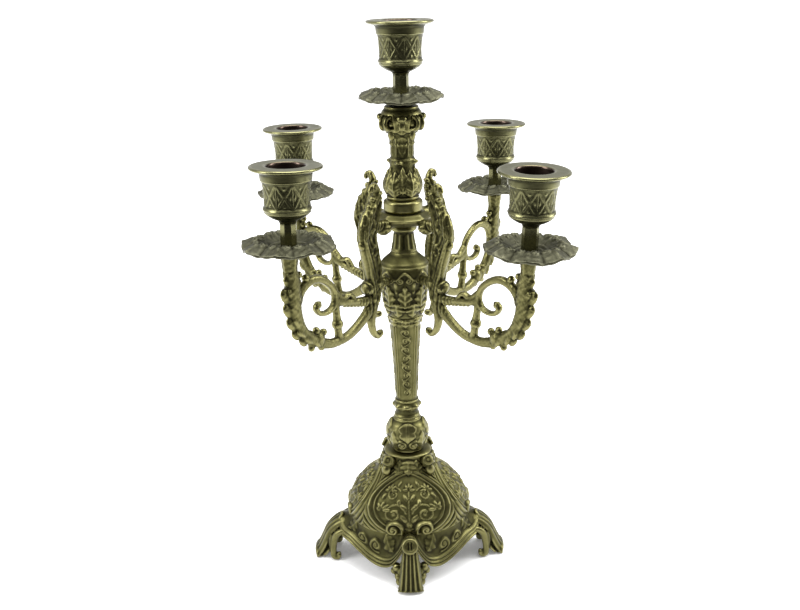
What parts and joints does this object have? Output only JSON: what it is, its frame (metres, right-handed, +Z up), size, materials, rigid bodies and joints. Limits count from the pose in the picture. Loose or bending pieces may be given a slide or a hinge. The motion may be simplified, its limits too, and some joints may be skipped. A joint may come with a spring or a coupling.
{
  "type": "tabletop candelabra",
  "caption": "Ornate cast brass table candelabra: a central light over four scrolled arms, each with a leafy drip pan and candle cup, on a footed base.",
  "frame": {"origin": "on the column's axis at the level of the feet's soles", "axes": "+Z up along the column, -Y towards the front medallion, +X to the right"},
  "size_m": [0.2039, 0.2141, 0.38],
  "materials": {
    "cast_brass": "aged cast brass, dark in the recesses",
    "cup_brass": "aged polished brass",
    "dull_brass": "dull greyish aged brass",
    "steel": "plain steel"
  },
  "bodies": {
    "column": {"base_casting": "cast_brass", "base_washer": "steel", "tie_rod_nut": "steel", "tie_rod": "steel", "knop": "cast_brass", "column_shaft": "cast_brass", "urn": "cast_brass", "spindle": "cast_brass", "arm_plate": "cast_brass", "collar_disc": "cast_brass", "upper_baluster": "cast_brass", "arm_screws": "cast_brass", "cup_studs": "steel", "arm_front_left": "cast_brass", "arm_front_right": "cast_brass", "arm_back_right": "cast_brass", "arm_back_left": "cast_brass"},
    "pan_centre": {"drip_pan_centre": "dull_brass"},
    "cup_centre": {"candle_cup_centre": "cup_brass"},
    "pan_front_left": {"drip_pan_front_left": "dull_brass"},
    "cup_front_left": {"candle_cup_front_left": "cup_brass"},
    "pan_front_right": {"drip_pan_front_right": "dull_brass"},
    "cup_front_right": {"candle_cup_front_right": "cup_brass"},
    "pan_back_right": {"drip_pan_back_right": "dull_brass"},
    "cup_back_right": {"candle_cup_back_right": "cup_brass"},
    "pan_back_left": {"drip_pan_back_left": "dull_brass"},
    "cup_back_left": {"candle_cup_back_left": "cup_brass"}
  },
  "joints": [
    {"name": "pan_turn_centre", "type": "hinge", "parent": "column", "child": "pan_centre", "pos_m": [0, 0, 0.328], "axis": [0, 0, 1], "continuous": true},
    {"name": "cup_turn_centre", "type": "hinge", "parent": "column", "child": "cup_centre", "pos_m": [0, 0, 0.328], "axis": [0, 0, 1], "continuous": true},
    {"name": "pan_turn_front_left", "type": "hinge", "parent": "column", "child": "pan_front_left", "pos_m": [-0.0666, -0.0805, 0.25521], "axis": [0.0156, 0.0188, 0.9997], "continuous": true},
    {"name": "cup_turn_front_left", "type": "hinge", "parent": "column", "child": "cup_front_left", "pos_m": [-0.0666, -0.0805, 0.25521], "axis": [0.0156, 0.0188, 0.9997], "continuous": true},
    {"name": "pan_turn_front_right", "type": "hinge", "parent": "column", "child": "pan_front_right", "pos_m": [0.07238, -0.07601, 0.24919], "axis": [0.0289, -0.0303, 0.9991], "continuous": true},
    {"name": "cup_turn_front_right", "type": "hinge", "parent": "column", "child": "cup_front_right", "pos_m": [0.07238, -0.07601, 0.24919], "axis": [0.0289, -0.0303, 0.9991], "continuous": true},
    {"name": "pan_turn_back_right", "type": "hinge", "parent": "column", "child": "pan_back_right", "pos_m": [0.06807, 0.0797, 0.25157], "axis": [0.0102, 0.0119, 0.9999], "continuous": true},
    {"name": "cup_turn_back_right", "type": "hinge", "parent": "column", "child": "cup_back_right", "pos_m": [0.06807, 0.0797, 0.25157], "axis": [0.0102, 0.0119, 0.9999], "continuous": true},
    {"name": "pan_turn_back_left", "type": "hinge", "parent": "column", "child": "pan_back_left", "pos_m": [-0.07722, 0.07076, 0.25252], "axis": [-0.0039, 0.0035, 1], "continuous": true},
    {"name": "cup_turn_back_left", "type": "hinge", "parent": "column", "child": "cup_back_left", "pos_m": [-0.07722, 0.07076, 0.25252], "axis": [-0.0039, 0.0035, 1], "continuous": true}
  ]
}
